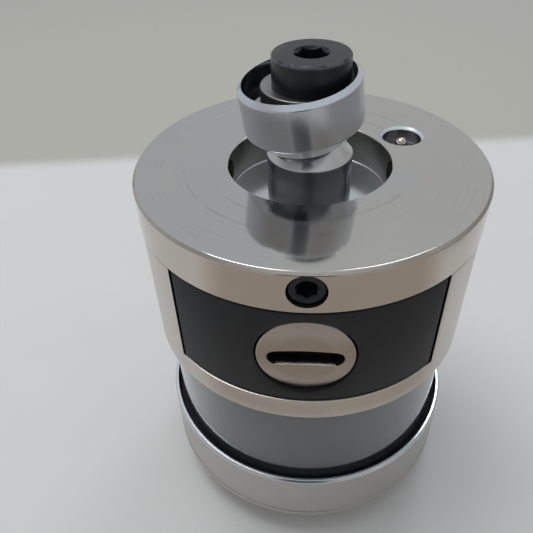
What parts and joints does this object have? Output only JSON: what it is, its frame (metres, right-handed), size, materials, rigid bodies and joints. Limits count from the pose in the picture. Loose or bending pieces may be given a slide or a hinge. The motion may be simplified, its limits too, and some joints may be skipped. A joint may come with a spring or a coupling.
{
  "type": "touch probe",
  "caption": "Round machine-tool touch probe with a shank flange, clamp post and loose collar, battery cassette with coin lock, light window, nose ring and sprung stylus carrier.",
  "frame": {"origin": "centre of the front face, on which the probe stands", "axes": "+Z along the probe's axis towards the shank end; -Y out through the battery cassette's coin lock"},
  "size_m": [0.063, 0.063, 0.095],
  "materials": {
    "flange_steel": "fine turned satin, slightly worn",
    "body_steel": "satin stainless steel",
    "nose_steel": "pale satin stainless steel",
    "knob_steel": "satin, coin-worn",
    "collar_steel": "turned satin with bright bevels",
    "post_steel": "polished turning",
    "turned_steel": "turned",
    "polished_steel": "polished",
    "black_oxide": "black oxide",
    "cover_plastic": "fine matte black",
    "black_plastic": "matte",
    "seal_rubber": "matte black rubber",
    "cell_wrap": "plain wrap",
    "board_green": "solder mask",
    "board_dark": "dark flexible board",
    "contact_gold": "gold plate",
    "lens_clear": "tinted lens",
    "window_glass": "smoked, glossy",
    "core_aluminium": "turned"
  },
  "bodies": {
    "probe_body": {"mounting_flange": "flange_steel", "flange_gasket": "seal_rubber", "flange_screws": "black_oxide", "clamp_post": "post_steel", "retaining_screw": "black_oxide", "retaining_washer": "turned_steel", "switch_sleeve": "turned_steel", "switch_spring": "polished_steel", "switch_base": "black_plastic", "body_shell": "body_steel", "contact_board": "board_green", "contact_pads": "contact_gold", "window_ring": "window_glass", "window_seal_upper": "seal_rubber", "window_seal_lower": "seal_rubber", "led_board": "board_dark", "light_sources": "lens_clear", "receivers": "black_plastic", "core_tube": "core_aluminium", "core_screws": "black_oxide", "main_board": "board_green", "board_chips": "black_plastic", "nose_ring": "nose_steel", "front_cover": "nose_steel", "eyelid_spring": "polished_steel", "diaphragm": "seal_rubber", "diaphragm_retainer": "turned_steel", "seat_plate": "turned_steel", "seat_balls": "polished_steel", "trigger_spring": "polished_steel", "spring_adjuster": "black_oxide", "spring_bridge": "core_aluminium", "spacer_tube": "core_aluminium", "bridge_clamp_ring": "turned_steel"},
    "collar": {"clamp_collar": "collar_steel"},
    "screw_right": {"adjust_screw_right": "black_oxide"},
    "screw_back": {"adjust_screw_back": "black_oxide"},
    "screw_left": {"adjust_screw_left": "black_oxide"},
    "screw_front": {"adjust_screw_front": "black_oxide"},
    "switch": {"switch_plunger": "polished_steel"},
    "cassette": {"battery_cassette": "cover_plastic", "cassette_seal": "seal_rubber", "lock_ring": "seal_rubber", "cell_left": "cell_wrap", "cell_right": "cell_wrap"},
    "lock": {"cassette_lock": "knob_steel", "lock_pin": "polished_steel", "lock_clip": "black_oxide"},
    "stylus": {"stylus_carrier": "turned_steel", "carrier_rollers": "polished_steel"},
    "shield": {"eyelid": "polished_steel"},
    "plunger": {"spring_plunger": "turned_steel"}
  },
  "joints": [
    {"name": "collar_lean", "type": "hinge", "parent": "probe_body", "child": "collar", "pos_m": [0, 0.0006, 0.0746], "axis": [0.4695, -0.8829, 0], "range_deg": [-10, 0]},
    {"name": "adjust_right", "type": "slide", "parent": "probe_body", "child": "screw_right", "axis": [-1, 0, 0], "range_m": [0, 0.0055]},
    {"name": "adjust_back", "type": "slide", "parent": "probe_body", "child": "screw_back", "axis": [0, -1, 0], "range_m": [0, 0.0055]},
    {"name": "adjust_left", "type": "slide", "parent": "probe_body", "child": "screw_left", "axis": [1, 0, 0], "range_m": [0, 0.0055]},
    {"name": "adjust_front", "type": "slide", "parent": "probe_body", "child": "screw_front", "axis": [0, 1, 0], "range_m": [0, 0.0055]},
    {"name": "switch_press", "type": "slide", "parent": "probe_body", "child": "switch", "axis": [0, 0, -1], "range_m": [0, 0.0015], "stiffness_N_per_m": 300, "springref_m": -0.002, "deforming": ["switch_spring"]},
    {"name": "cassette_slide", "type": "slide", "parent": "probe_body", "child": "cassette", "axis": [0, -1, 0], "range_m": [0, 0.042]},
    {"name": "lock_turn", "type": "hinge", "parent": "cassette", "child": "lock", "pos_m": [0, -0.0272, 0.0576], "axis": [0, 1, 0], "range_deg": [0, 90]},
    {"name": "stylus_tilt", "type": "hinge", "parent": "probe_body", "child": "stylus", "pos_m": [0, -0.006, 0.02049], "axis": [1, 0, 0], "range_deg": [0, 12], "stiffness_Nm_per_rad": 0.2, "springref_deg": -14.32, "deforming": ["diaphragm"]},
    {"name": "eyelid_slide", "type": "slide", "parent": "probe_body", "child": "shield", "axis": [0, 1, 0], "range_m": [0, 0.004]},
    {"name": "plunger_slide", "type": "slide", "parent": "probe_body", "child": "plunger", "axis": [0, 0, 1], "range_m": [0, 0.0015], "deforming": ["trigger_spring"]}
  ],
  "couplings": [
    {"joint": "eyelid_slide", "follows": "stylus_tilt", "m_per_rad": 0.0179},
    {"joint": "plunger_slide", "follows": "stylus_tilt", "m_per_rad": 0.006}
  ]
}
